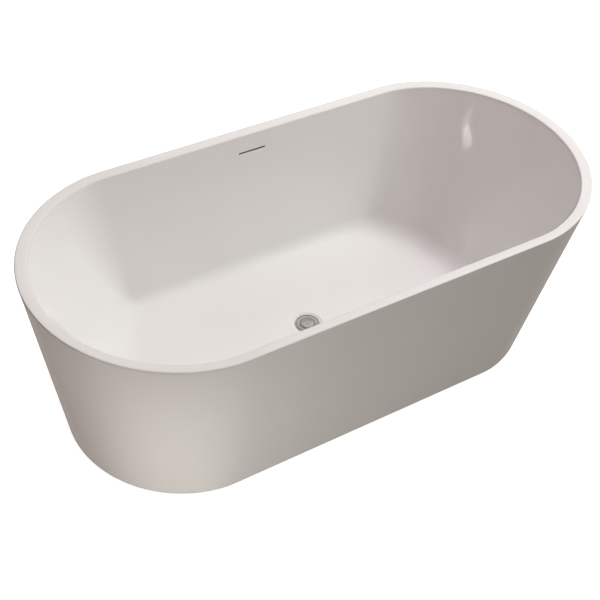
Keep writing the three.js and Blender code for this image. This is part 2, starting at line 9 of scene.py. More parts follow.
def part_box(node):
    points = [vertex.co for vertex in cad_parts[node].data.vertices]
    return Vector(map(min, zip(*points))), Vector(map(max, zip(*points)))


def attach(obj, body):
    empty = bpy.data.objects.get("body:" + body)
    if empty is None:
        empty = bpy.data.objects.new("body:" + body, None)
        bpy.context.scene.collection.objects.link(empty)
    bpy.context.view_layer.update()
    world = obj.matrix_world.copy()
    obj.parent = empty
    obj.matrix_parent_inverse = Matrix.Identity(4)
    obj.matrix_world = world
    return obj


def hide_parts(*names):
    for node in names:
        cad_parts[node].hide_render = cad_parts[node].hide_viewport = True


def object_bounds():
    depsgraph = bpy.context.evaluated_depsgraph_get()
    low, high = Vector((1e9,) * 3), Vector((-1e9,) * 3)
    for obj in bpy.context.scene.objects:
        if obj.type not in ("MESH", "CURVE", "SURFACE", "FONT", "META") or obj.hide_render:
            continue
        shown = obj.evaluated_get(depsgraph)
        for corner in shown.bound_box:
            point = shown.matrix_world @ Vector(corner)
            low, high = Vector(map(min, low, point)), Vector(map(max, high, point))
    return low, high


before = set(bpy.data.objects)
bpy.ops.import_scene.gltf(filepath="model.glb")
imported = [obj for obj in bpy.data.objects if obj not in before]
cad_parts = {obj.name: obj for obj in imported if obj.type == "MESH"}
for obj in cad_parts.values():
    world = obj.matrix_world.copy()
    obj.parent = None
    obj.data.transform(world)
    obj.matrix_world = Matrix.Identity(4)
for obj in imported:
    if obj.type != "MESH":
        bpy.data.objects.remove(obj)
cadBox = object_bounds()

# Freestanding acrylic bath. Lengths are metres, angles degrees.

print("bath: helpers")


def linear(hexColour):
    # sRGB hex to linear red, green, blue
    parts = [int(hexColour[i:i + 2], 16) / 255 for i in (1, 3, 5)]
    return [p / 12.92 if p <= 0.04045 else ((p + 0.055) / 1.055) ** 2.4 for p in parts]


def rgba(hexColour):
    return (*linear(hexColour), 1.0)


def node(tree, kind, inputs=None, **settings):
    # one node with its settings; an input is a value or the socket that feeds it
    made = tree.nodes.new(kind)
    for key, value in settings.items():
        setattr(made, key, value)
    for key, value in (inputs or {}).items():
        socket = made.inputs[key]
        if isinstance(value, bpy.types.NodeSocket):
            tree.links.new(value, socket)
        else:
            socket.default_value = value
    return made


def gridFaces(rows, columns, closeRows, closeColumns):
    # quads between neighbouring rows and columns of points
    r = np.arange(rows if closeRows else rows - 1)
    c = np.arange(columns if closeColumns else columns - 1)
    thisRow, nextRow = r[:, None] * columns, (r[:, None] + 1) % rows * columns
    thisColumn, nextColumn = c[None, :], (c[None, :] + 1) % columns
    corners = [thisRow + thisColumn, thisRow + nextColumn, nextRow + nextColumn, nextRow + thisColumn]
    return np.stack(corners, -1).reshape(-1, 4)


def body(points, closeRows=True, closeColumns=True):
    # a surface from a grid of points, as (points, faces), with its faces turned outwards
    rows, columns = points.shape[:2]
    flat = points.reshape(-1, 3)
    faces = gridFaces(rows, columns, closeRows, closeColumns)
    a, b, c, d = (flat[faces[:, i]] for i in range(4))
    volume = np.einsum("ij,ij", a, np.cross(b, c)) + np.einsum("ij,ij", a, np.cross(c, d))
    return flat, faces if volume > 0 else faces[:, ::-1]


def revolved(radius, height, segments=48, closeRows=True):
    # rows of radius and height, each one number or one for every angle, turned about Z
    angle = np.linspace(0, 2 * np.pi, segments, endpoint=False)
    rows = [np.broadcast_to(r, segments) for r in radius]
    levels = [np.broadcast_to(z, segments) for z in height]
    r, z = np.stack(rows), np.stack(levels)
    points = np.stack([r * np.cos(angle), r * np.sin(angle), z], -1)
    return body(points, closeRows)


def softened(profile, rounding, steps=4, closed=True):
    # every corner becomes a quadratic bend between the points that lie `rounding` away on its two sides
    p = np.array(profile, float)
    before, after = np.roll(p, 1, 0), np.roll(p, -1, 0)
    rounding = np.broadcast_to(rounding, len(p)).astype(float)

    def towards(other):
        step = other - p
        reach = np.linalg.norm(step, axis=1)
        return p + step * (np.minimum(rounding, reach * 0.45) / np.maximum(reach, 1e-9))[:, None]

    start, end = towards(before), towards(after)
    if not closed:
        start[0] = end[0] = p[0]
        start[-1] = end[-1] = p[-1]
    t = np.linspace(0, 1, steps + 1)[None, :, None]
    bends = start[:, None] * (1 - t) ** 2 + 2 * t * (1 - t) * p[:, None] + end[:, None] * t ** 2
    return bends.reshape(-1, 2)


def turned(profile, rounding=0.0003, segments=48, closed=True):
    p = softened(profile, rounding, closed=closed)
    return revolved(p[:, 0], p[:, 1], segments, closed)


def moved(shape, place=(0, 0, 0), turn=(0, 0, 0)):
    points, faces = shape
    matrix = np.array(Euler([math.radians(a) for a in turn]).to_matrix())
    return points @ matrix.T + np.array(place), faces


def linked(name, data):
    holder = bpy.data.objects.new(name, data)
    bpy.context.scene.collection.objects.link(holder)
    return holder


def addPiece(name, shapes, rides, materials, replaced=(), faceMaterial=None, sharpOver=35):
    # shapes are (points, faces); they become one mesh with merged points
    mesh = bpy.data.meshes.new(name)
    offsets = np.cumsum([0] + [len(shape[0]) for shape in shapes[:-1]])
    points = np.concatenate([shape[0] for shape in shapes])
    faces = np.concatenate([shape[1] + offset for shape, offset in zip(shapes, offsets)])
    mesh.from_pydata(points.tolist(), [], faces.tolist())
    for material in materials:
        mesh.materials.append(material)
    if faceMaterial is not None:
        mesh.polygons.foreach_set("material_index", faceMaterial.astype(np.int32))
    work = bmesh.new()
    work.from_mesh(mesh)
    bmesh.ops.remove_doubles(work, verts=work.verts, dist=1e-6)
    work.to_mesh(mesh)
    work.free()
    mesh.shade_smooth()
    mesh.set_sharp_from_angle(angle=math.radians(sharpOver))
    piece = linked(name, mesh)
    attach(piece, rides)
    if replaced:
        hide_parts(*replaced)
    return piece


def refined(nodeName, rides, material, bevel, segments=2):
    # a copy of a CAD node with merged points, flat areas joined and its edges eased
    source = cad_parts[nodeName]
    work = bmesh.new()
    work.from_mesh(source.data)
    bmesh.ops.remove_doubles(work, verts=work.verts, dist=2e-6)
    bmesh.ops.dissolve_limit(
        work, angle_limit=math.radians(1), verts=work.verts, edges=work.edges, delimit=set())
    mesh = bpy.data.meshes.new(f"{nodeName}_fine")
    work.to_mesh(mesh)
    work.free()
    mesh.materials.clear()
    mesh.materials.append(material)
    mesh.shade_smooth()
    mesh.set_sharp_from_angle(angle=math.radians(35))
    piece = linked(mesh.name, mesh)
    ease = piece.modifiers.new("ease", "BEVEL")
    ease.width = bevel
    ease.segments = segments
    ease.limit_method = "ANGLE"
    ease.angle_limit = math.radians(40)
    ease.harden_normals = True
    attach(piece, rides)
    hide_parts(nodeName)


def numbered(start, count):
    return [f"{start}_{i + 1}" for i in range(count)]


print("bath: materials")


def newMaterial(name):
    material = bpy.data.materials.new(name)
    material.use_nodes = True
    tree = material.node_tree
    tree.nodes.clear()
    return material, tree, node(tree, "ShaderNodeTexCoord").outputs["Object"]


def shaded(material, inputs):
    # the shader that ends a material, joined to its output
    shader = node(material.node_tree, "ShaderNodeBsdfPrincipled", inputs)
    node(material.node_tree, "ShaderNodeOutputMaterial", {"Surface": shader.outputs["BSDF"]})
    return material


def blended(tree, factor, first, second, firstAt=0.0, secondAt=1.0):
    # goes from one colour to another between two values of the factor
    ramp = node(tree, "ShaderNodeValToRGB", {"Fac": factor})
    for stop, colour, position in zip(ramp.color_ramp.elements, (first, second), (firstAt, secondAt)):
        stop.color, stop.position = rgba(colour), position
    return ramp.outputs["Color"]


def worked(tree, operation, first, second=None):
    inputs = {0: first} if second is None else {0: first, 1: second}
    return node(tree, "ShaderNodeMath", inputs, operation=operation).outputs[0]


def bumped(tree, height, strength, distance):
    bump = node(tree, "ShaderNodeBump", {"Height": height, "Strength": strength, "Distance": distance})
    return bump.outputs["Normal"]


def castAcrylic():
    # Cast acrylic sheet, vacuum formed: a wet-looking warm white with a faint slow waviness in its gloss
    material, tree, place = newMaterial("cast_acrylic")
    slow = node(tree, "ShaderNodeTexNoise", {"Vector": place, "Scale": 2.2, "Detail": 2.0, "Roughness": 0.4})
    tint = blended(tree, slow.outputs["Fac"], "#E6E3E2", "#E9E7E6", 0.3, 0.7)
    haze = node(tree, "ShaderNodeTexNoise", {"Vector": place, "Scale": 14.0, "Detail": 4.0, "Roughness": 0.6})
    gloss = node(tree, "ShaderNodeMapRange", {
        "Value": haze.outputs["Fac"], "From Min": 0.3, "From Max": 0.7, "To Min": 0.03, "To Max": 0.07})
    # forming waviness about 25 mm across, some ten microns high
    wave = node(tree, "ShaderNodeTexNoise", {"Vector": place, "Scale": 1 / 0.025, "Detail": 1.0})
    normal = bumped(tree, wave.outputs["Fac"], 0.25, 0.00004)
    return shaded(material, {
        "Base Color": tint, "Roughness": gloss.outputs["Result"], "Normal": normal, "IOR": 1.49})


def laminate():
    # Glass-fibre laminate, sprayed and rolled: milky resin with pale strands of chopped glass about 30 mm long
    material, tree, place = newMaterial("glass_fibre_laminate")
    strands = None
    for turn, scale in ((0.4, 70.0), (1.5, 83.0), (2.6, 76.0)):
        spun = node(tree, "ShaderNodeMapping", {"Vector": place, "Rotation": (turn, turn * 2, turn * 3)})
        lines = node(tree, "ShaderNodeTexWave", {
            "Vector": spun.outputs["Vector"], "Scale": scale, "Distortion": 9.0, "Detail": 2.0,
            "Detail Scale": 0.6})
        patch = node(tree, "ShaderNodeTexNoise", {"Vector": spun.outputs["Vector"], "Scale": 38.0})
        strand = worked(tree, "MULTIPLY", lines.outputs["Fac"], patch.outputs["Fac"])
        strands = strand if strands is None else worked(tree, "MAXIMUM", strands, strand)
    resin = blended(tree, strands, "#B9B39F", "#E2DECF", 0.15, 0.62)
    normal = bumped(tree, strands, 0.7, 0.0009)
    return shaded(material, {"Base Color": resin, "Roughness": 0.42, "Normal": normal, "IOR": 1.55})


def plywood():
    # Birch plywood, rotary peeled: long grain on the faces, 1.4 mm light and dark plies on the edges
    material, tree, place = newMaterial("birch_plywood")
    along = node(tree, "ShaderNodeMapping", {"Vector": place, "Scale": (1.0, 9.0, 1.0)})
    grain = node(tree, "ShaderNodeTexNoise", {
        "Vector": along.outputs["Vector"], "Scale": 16.0, "Detail": 8.0, "Roughness": 0.65, "Distortion": 0.6})
    face = blended(tree, grain.outputs["Fac"], "#A98556", "#D3B588", 0.33, 0.66)
    split = node(tree, "ShaderNodeSeparateXYZ", {"Vector": place})
    # one light and one dark ply to a wave
    ply = worked(tree, "MULTIPLY", split.outputs["Z"], 2 * math.pi / 0.0028)
    edge = blended(tree, worked(tree, "SINE", ply), "#7D5B36", "#CDAE7F", 0.0, 0.35)
    geometry = node(tree, "ShaderNodeNewGeometry")
    facing = node(tree, "ShaderNodeSeparateXYZ", {"Vector": geometry.outputs["Normal"]})
    level = worked(tree, "ABSOLUTE", facing.outputs["Z"])
    colour = node(tree, "ShaderNodeMix", {"Factor": level}, data_type="RGBA")
    tree.links.new(edge, colour.inputs["A"])
    tree.links.new(face, colour.inputs["B"])
    normal = bumped(tree, grain.outputs["Fac"], 0.4, 0.0004)
    return shaded(material, {"Base Color": colour.outputs["Result"], "Roughness": 0.72, "Normal": normal})


def galvanisedSteel():
    # Hot-dip galvanised steel: flat crystals of zinc about 9 mm across, each with its own dull shine
    material, tree, place = newMaterial("galvanised_steel")
    crystal = node(tree, "ShaderNodeTexVoronoi", {"Vector": place, "Scale": 1 / 0.009, "Randomness": 1.0})
    shade = blended(tree, crystal.outputs["Color"], "#8C9093", "#C3C6C8")
    dull = node(tree, "ShaderNodeMapRange", {"Value": crystal.outputs["Color"], "To Min": 0.32, "To Max": 0.6})
    grit = node(tree, "ShaderNodeTexNoise", {"Vector": place, "Scale": 900.0, "Detail": 3.0})
    normal = bumped(tree, grit.outputs["Fac"], 0.3, 0.0001)
    return shaded(material, {
        "Base Color": shade, "Metallic": 0.92, "Roughness": dull.outputs["Result"], "Normal": normal})


def zincPlate():
    # Bright zinc-plated steel: a clean blue-grey shine with faint straw-coloured clouds of passivation
    material, tree, place = newMaterial("zinc_plated_steel")
    cloud = node(tree, "ShaderNodeTexNoise", {"Vector": place, "Scale": 120.0, "Detail": 3.0})
    shade = blended(tree, cloud.outputs["Fac"], "#B4B9C0", "#CFC9B4", 0.35, 0.75)
    scuff = node(tree, "ShaderNodeMapRange", {"Value": cloud.outputs["Fac"], "To Min": 0.2, "To Max": 0.42})
    return shaded(material, {"Base Color": shade, "Metallic": 1.0, "Roughness": scuff.outputs["Result"]})


def chromePlate():
    # Chrome-plated brass, polished: a dark mirror with fine wiping marks and a few dried drops of water
    material, tree, place = newMaterial("chrome_plated_brass")
    wipe = node(tree, "ShaderNodeMapping", {"Vector": place, "Rotation": (0, 0, 0.6), "Scale": (40, 700, 40)})
    marks = node(tree, "ShaderNodeTexNoise", {"Vector": wipe.outputs["Vector"], "Scale": 1.0, "Detail": 3.0})
    drops = node(tree, "ShaderNodeTexVoronoi", {"Vector": place, "Scale": 170.0})
    spot = node(tree, "ShaderNodeMapRange", {
        "Value": drops.outputs["Distance"], "From Min": 0.16, "From Max": 0.28, "To Min": 0.1, "To Max": 0.0})
    fine = node(tree, "ShaderNodeMapRange", {"Value": marks.outputs["Fac"], "To Min": 0.05, "To Max": 0.13})
    rough = worked(tree, "ADD", spot.outputs["Result"], fine.outputs["Result"])
    tone = blended(tree, marks.outputs["Fac"], "#C4C3C4", "#DAD9D8")
    return shaded(material, {"Base Color": tone, "Metallic": 1.0, "Roughness": rough})


def mouldedPlastic(name, light, dark, roughness, grainSize):
    # Injection-moulded plastic: an even colour broken by flow clouds, with the fine spark texture of the tool
    material, tree, place = newMaterial(name)
    flow = node(tree, "ShaderNodeTexNoise", {"Vector": place, "Scale": 45.0, "Detail": 3.0})
    tone = blended(tree, flow.outputs["Fac"], dark, light, 0.3, 0.7)
    spark = node(tree, "ShaderNodeTexNoise", {"Vector": place, "Scale": 1 / grainSize, "Detail": 4.0})
    normal = bumped(tree, spark.outputs["Fac"], 0.35, 0.0001)
    spread = 0.06
    sheen = node(tree, "ShaderNodeMapRange", {
        "Value": flow.outputs["Fac"], "To Min": roughness - spread, "To Max": roughness + spread})
    return shaded(material, {
        "Base Color": tone, "Roughness": sheen.outputs["Result"], "Normal": normal, "IOR": 1.5})


acrylic = castAcrylic()
backing = laminate()
birch = plywood()
galvanised = galvanisedSteel()
zinc = zincPlate()
chrome = chromePlate()
rubber = mouldedPlastic("epdm_rubber", "#262625", "#1B1B1A", 0.78, 0.0006)  # matt, slightly dusty black
nylon = mouldedPlastic("glass_filled_nylon", "#2C2D30", "#202124", 0.55, 0.0008)  # charcoal with a dry grain
whitePlastic = mouldedPlastic("polypropylene", "#E3E2DD", "#D6D5CF", 0.42, 0.0005)  # waxy off-white
hosePlastic = mouldedPlastic("flexible_pvc", "#C9CCCE", "#BBBFC2", 0.5, 0.0007)  # soft pale grey


print("bath: basin")

# An outline is five numbers: half length, half width, radius of the end arc, radius of the corner arc, height
basin = {
    "rimBand": 0.0295, "rimRound": 0.0030, "rimFall": 0.0045, "rimPlate": 0.006, "wall": 0.006,
    "toe": (0.548, 0.302, 0.430, 0.035, 0.135),
    "floorEdge": (0.503, 0.274, 0.395, 0.055, 0.135),
    "mouthDrop": 0.005, "mouthBulge": 0.0015, "cornerAtMouth": 0.300, "footRise": 0.038,
    "floorDip": 0.004, "underside": 0.124,
    "recessRim": 0.047, "recess": 0.040, "recessDepth": 0.003, "drainHole": 0.026,
}
slotSizes = {
    "half": 0.044, "halfHeight": 0.003, "corner": 0.0016, "level": 0.520, "ease": 0.0009,
    "patchHalf": 0.015, "patchColumns": 10,  # the block of the wall's grid that the slot's own rings replace
}

high = cadBox[1]
bathTop = high.z
archHeight = bathTop - basin["mouthDrop"]
halfLength = high.x - basin["rimBand"]
halfWidth = high.y - basin["rimBand"]
mouth = np.array([
    halfLength, halfWidth, halfWidth + basin["mouthBulge"], basin["cornerAtMouth"], archHeight])
toe = np.array(basin["toe"])
floorEdge = np.array(basin["floorEdge"])
floorLevel = toe[4]

endShares = np.linspace(0, 1, 37)
cornerShares = np.linspace(0, 1, 21)[1:]
sideShares = np.concatenate([np.linspace(0, 0.87, 13)[1:], np.linspace(0.87, 1, 11)[1:]])
wallLean = math.atan2(mouth[1] - toe[1], archHeight - floorLevel)


def ovalRows(sizes):
    # The end arc turns from the long axis to where the corner arc touches it inside; the corner arc turns on to
    # the straight side, which runs to the middle. The other three quarters are mirror images.
    a, b, endRadius, cornerRadius, height = (sizes[:, i:i + 1] for i in range(5))
    centre = a - endRadius
    across = b - cornerRadius
    reach = np.sqrt((endRadius - cornerRadius) ** 2 - across ** 2)
    turn = np.arctan2(across, reach)
    endAngle = turn * endShares
    cornerAngle = turn + (np.pi / 2 - turn) * cornerShares
    x = np.hstack([
        centre + endRadius * np.cos(endAngle),
        centre + reach + cornerRadius * np.cos(cornerAngle),
        (centre + reach) * (1 - sideShares)])
    y = np.hstack([
        endRadius * np.sin(endAngle),
        across + cornerRadius * np.sin(cornerAngle),
        np.repeat(b, len(sideShares), 1)])
    x = np.hstack([x, -x[:, -2::-1], -x[:, 1:], x[:, -2:0:-1]])
    y = np.hstack([y, y[:, -2::-1], -y[:, 1:], -y[:, -2:0:-1]])
    return np.stack([x, y, np.broadcast_to(height, x.shape)], -1)


def grown(sizes, by):
    # outlines moved outwards by an even distance
    out = np.atleast_2d(sizes).astype(float)
    out[:, :4] += np.broadcast_to(by, len(out))[:, None]
    return out


def wallAt(heights):
    # the inner wall's outline at each height, on straight lines between the mouth and the toe
    share = (archHeight - np.asarray(heights, float)) / (archHeight - floorLevel)
    return mouth + (toe - mouth) * share[:, None]


def bend(start, knee, end, share):
    # quadratic bend: leaves start towards knee and arrives at end from knee
    t = np.asarray(share)[:, None]
    return start * (1 - t) ** 2 + 2 * t * (1 - t) * knee + end * t ** 2


def circleRows(like, radius, heights):
    # circles whose points lie in the directions of an outline's points
    angle = np.arctan2(like[:, 1], like[:, 0])
    r, z = np.atleast_1d(radius)[:, None], np.atleast_1d(heights)[:, None]
    return np.stack([r * np.cos(angle), r * np.sin(angle), np.broadcast_to(z, (len(r), len(angle)))], -1)


def basinRows():
    footTop = floorLevel + basin["footRise"]
    slotTop = slotSizes["level"] + slotSizes["patchHalf"]
    slotLow = slotSizes["level"] - slotSizes["patchHalf"]
    lipHeight = archHeight - basin["rimFall"]
    wallHeights = np.concatenate([
        np.linspace(lipHeight, slotTop, 7),
        np.linspace(slotTop, slotLow, 11)[1:],
        np.linspace(slotLow, footTop, 34)[1:]])
    shares = np.linspace(0, 1, 21)
    edgeRing = ovalRows(floorEdge[None])[0]
    drainLevel = floorLevel - basin["floorDip"]
    recessLevel = drainLevel - basin["recessDepth"]

    # floor: from the edge outline to the circle of the recess, falling with the square of the way in
    s = np.linspace(0, 1, 22)[1:]
    recessRim = circleRows(edgeRing, basin["recessRim"], 0)[0]
    floorRows = edgeRing + (recessRim - edgeRing) * s[:, None, None]
    floorRows[..., 2] = (floorLevel - basin["floorDip"] * s ** 2)[:, None]
    # recess: half a cosine down to its flat bottom, then the hole
    c = np.linspace(0, 1, 9)[1:]
    recessRadii = basin["recessRim"] + (basin["recess"] - basin["recessRim"]) * c
    recessHeights = recessLevel + (drainLevel - recessLevel) * (1 + np.cos(np.pi * c)) / 2
    holeRadii = np.array([basin["drainHole"] + 0.0006, basin["drainHole"], basin["drainHole"]])
    holeHeights = np.array([recessLevel, recessLevel - 0.0006, basin["underside"]])
    dishRows = circleRows(edgeRing, np.append(recessRadii, holeRadii), np.append(recessHeights, holeHeights))

    inside = bend(wallAt([footTop]), toe, floorEdge, shares)
    r = basin["rimRound"]
    quarter = np.radians(np.linspace(0, 90, 9))
    rimOut = np.concatenate([r - r * np.cos(quarter), [0.010, 0.015, 0.020],
                             basin["rimBand"] - r + r * np.sin(quarter)])
    rimHeight = np.concatenate([archHeight + (bathTop - archHeight) * np.sin(quarter), [bathTop] * 3,
                                bathTop - r + r * np.cos(quarter)])
    # the band falls evenly from its outer edge in to the wall
    rimHeight -= basin["rimFall"] * np.clip(1 - rimOut / (basin["rimBand"] - r), 0, 1)
    lip = bathTop - basin["rimPlate"]
    rimOut = np.append(rimOut, [basin["rimBand"], basin["rimBand"] - 0.0004, 0.0085, basin["wall"]])
    rimHeight = np.append(rimHeight, [lip + 0.0004, lip, lip, lip - 0.002])
    rimStart, rimEnd = wallAt([lipHeight])[0], grown(mouth, basin["rimBand"])[0]
    rimSizes = rimStart + (rimEnd - rimStart) * (rimOut / basin["rimBand"])[:, None]
    rimSizes[:, 4] = rimHeight
    rimRows = ovalRows(rimSizes)

    wallRows = ovalRows(wallAt(wallHeights))
    backRows = ovalRows(grown(wallAt(wallHeights), basin["wall"]))
    underToe = grown(wallAt([basin["underside"]]), basin["wall"])
    underEdge = floorEdge.copy()
    underEdge[4] = basin["underside"]
    underBend = ovalRows(bend(grown(wallAt([footTop]), basin["wall"]), underToe, underEdge, shares))
    underRing = ovalRows(underEdge[None])[0]
    underHole = circleRows(underRing, basin["drainHole"], basin["underside"])[0]
    u = np.linspace(0, 1, 8)[1:-1, None, None]
    underRows = underRing + (underHole - underRing) * u

    # in order: up from the drain over the rim, down the back and in to the drain again
    parts = [
        ("dish", dishRows[::-1]), ("floor", floorRows[::-1]), ("bend", ovalRows(inside)[::-1]),
        ("wall", wallRows[::-1][1:-1]), ("rim", rimRows), ("back", backRows[1:]),
        ("underBend", underBend[1:]), ("under", underRows)]
    names, blocks = zip(*parts)
    starts = dict(zip(names, np.cumsum([0] + [len(block) for block in blocks[:-1]])))
    return np.concatenate(blocks), starts


def rowNear(points, column, height, first, last):
    # the row from first to last that is nearest to a height
    return first + int(np.argmin(np.abs(points[first:last, column, 2] - height)))


def loopOf(rowA, rowB, columnA, columnB):
    # the border of a block of the grid, once round, as rows and columns
    step = 1 if rowB > rowA else -1
    rows = np.arange(rowA, rowB + step, step)
    columns = np.arange(columnA, columnB + 1)
    r = np.concatenate([np.full(len(columns) - 1, rowA), rows[:-1],
                        np.full(len(columns) - 1, rowB), rows[:0:-1]])
    c = np.concatenate([columns[:-1], np.full(len(rows) - 1, columnB),
                        columns[:0:-1], np.full(len(rows) - 1, columnA)])
    return r, c


def slotRings(border, backBorder):
    # A point on the patch's border goes to the same place on the slot's outline, whose corners are arcs.
    # The rings between run over the eased edge, through the wall and out to the border on the back.
    level = slotSizes["level"]
    origin = np.array([0, wallAt([level])[0, 1], level])
    up = np.array([0, math.sin(wallLean), math.cos(wallLean)])
    outward = np.array([0, math.cos(wallLean), -math.sin(wallLean)])
    flat = np.stack([border[:, 0], (border - origin) @ up], -1)
    unit = flat / np.abs(flat).max(0)
    half = np.array([slotSizes["half"], slotSizes["halfHeight"]])
    core = half - slotSizes["corner"]

    def outline(out):
        p = unit * (half + out)
        inner = np.clip(p, -core, core)
        away = p - inner
        reach = np.maximum(np.linalg.norm(away, axis=1, keepdims=True), 1e-9)
        return inner + away / reach * (slotSizes["corner"] + out)

    def at(flatPoints, depth):
        return origin + flatPoints[:, :1] * [1, 0, 0] + flatPoints[:, 1:] * up + depth * outward

    ease = slotSizes["ease"]
    thick = basin["wall"] * math.cos(wallLean)
    a = np.radians(np.linspace(0, 90, 5))
    rings = [border, at(outline(0.006), 0), at(outline(0.0022), 0)]
    rings += [at(outline(ease * (1 - math.sin(t))), ease * (1 - math.cos(t))) for t in a]
    rings += [at(outline(0), thick - 0.0002), at(outline(0.0002), thick), at(outline(0.006), thick), backBorder]
    return np.stack(rings)


def makeBasin():
    points, starts = basinRows()
    rows, columns = points.shape[:2]
    middle = len(endShares) + len(cornerShares) + len(sideShares) - 1
    first, last = middle - slotSizes["patchColumns"], middle + slotSizes["patchColumns"]
    top = slotSizes["level"] + slotSizes["patchHalf"]
    bottom = slotSizes["level"] - slotSizes["patchHalf"]
    a = rowNear(points, middle, bottom, starts["wall"], starts["rim"])
    b = rowNear(points, middle, top, starts["wall"], starts["rim"])
    backA = rowNear(points, middle, bottom, starts["back"], starts["underBend"])
    backB = rowNear(points, middle, top, starts["back"], starts["underBend"])

    faces = gridFaces(rows, columns, True, True).reshape(rows, columns, 4)
    keep = np.ones((rows, columns), bool)
    keep[a:b, first:last] = False
    keep[backB:backA, first:last] = False
    # the laminate starts at the rim's last row, under the lip, and goes on to the drain hole
    laminated = np.zeros((rows, columns))
    laminated[starts["back"] - 1:] = 1

    front = points[loopOf(a, b, first, last)]
    back = points[loopOf(backA, backB, first, last)]
    rings = slotRings(front, back)
    shell = points.reshape(-1, 3), faces[keep]
    through = rings.reshape(-1, 3), gridFaces(len(rings), rings.shape[1], False, True)
    sides = np.concatenate([laminated[keep], np.zeros(len(through[1]))])
    piece = addPiece(
        "basin", [shell, through], "bath", [acrylic, backing], ["basin_shell"], sides, 50)
    work = bmesh.new()
    work.from_mesh(piece.data)
    bmesh.ops.recalc_face_normals(work, faces=work.faces)
    work.to_mesh(piece.data)
    work.free()


makeBasin()


print("bath: skirt")

skirt = {
    "foot": (0.745, 0.3265, 0.328, 0.260, 0.005), "thick": 0.005, "flange": 0.020, "return": 0.015,
    "ease": 0.0012, "insideEase": 0.003, "gap": 0.0003,
}


def skirtAt(heights):
    # the skirt's outline at each height, on straight lines between its foot and the rim's outer edge
    foot = np.array(skirt["foot"])
    top = grown(mouth, basin["rimBand"])[0]
    share = (np.asarray(heights, float) - foot[4]) / (top[4] - foot[4])
    return foot + (top - foot) * share[:, None]


def makeSkirt():
    bottom = skirt["foot"][4]
    top = bathTop - basin["rimPlate"] - skirt["gap"]
    thick, ease, inside = skirt["thick"], skirt["ease"], skirt["insideEase"]
    profile = np.array([
        (0, bottom), (0, top), (-skirt["flange"], top), (-skirt["flange"], top - thick),
        (-thick, top - thick), (-thick, bottom + thick),
        (-skirt["return"], bottom + thick), (-skirt["return"], bottom)])
    rounding = [ease, ease / 3, ease, ease, inside, inside, ease, ease]
    bends = softened(profile, rounding, 3).reshape(len(profile), -1, 2)
    outer = np.stack([np.zeros(40), np.linspace(bends[0][-1][1], bends[1][0][1], 42)[1:-1]], -1)
    inner = np.stack([np.full(24, -thick), np.linspace(bends[4][-1][1], bends[5][0][1], 26)[1:-1]], -1)
    rows = np.concatenate([bends[0], outer, *bends[1:5], inner, *bends[5:]])
    points = ovalRows(grown(skirtAt(rows[:, 1]), rows[:, 0]))
    shape = body(points)
    faceRow = np.repeat(np.arange(len(rows)), points.shape[1])
    outsideEnd = len(bends[0]) + len(outer) + len(bends[1])
    laminated = (faceRow >= outsideEnd).astype(float)
    addPiece("skirt", [shape], "bath", [acrylic, backing], ["outer_skirt"], laminated, 50)


makeSkirt()


print("bath: waste")

waste = {
    "flange": 0.036, "tail": 0.023, "bore": 0.020, "tailEnd": 0.085, "flangeUnder": 0.1301,
    "spiderLow": 0.098, "spiderHigh": 0.110, "boss": 0.011, "bossBore": 0.0083, "arm": 0.003,
    "pitch": 0.0023, "threadDepth": 0.0008, "plug": 0.0216, "capLevel": 0.1299, "gap": 0.0003,
    "stem": 0.0045, "stemEnd": 0.096, "collar": 0.011, "collarUnder": 0.123, "sealInner": 0.0113,
    # inner radius, outer radius, bottom, top
    "sleeve": (0.0048, 0.008, 0.092, 0.120),
    "tee": 0.020, "teeBore": 0.0175, "teeCollar": 0.026, "teeCollarTall": 0.004,
    "branch": 0.011, "branchBore": 0.0043, "branchLevel": 0.062,
}


def threadRows(radius, depth, pitch, bottom, top, segments):
    # the radius dips along a cosine that climbs one pitch a turn, and the dips fade out at both ends
    height = np.linspace(bottom, top, int((top - bottom) / pitch * 7))
    angle = np.linspace(0, 2 * np.pi, segments, endpoint=False)
    phase = height[:, None] / pitch - angle[None, :] / (2 * np.pi)
    tooth = 0.5 + 0.5 * np.cos(2 * np.pi * phase)
    fade = np.clip(np.minimum(height - bottom, top - height) / (1.5 * pitch), 0, 1)[:, None]
    return list(radius - depth * tooth * fade), list(height)


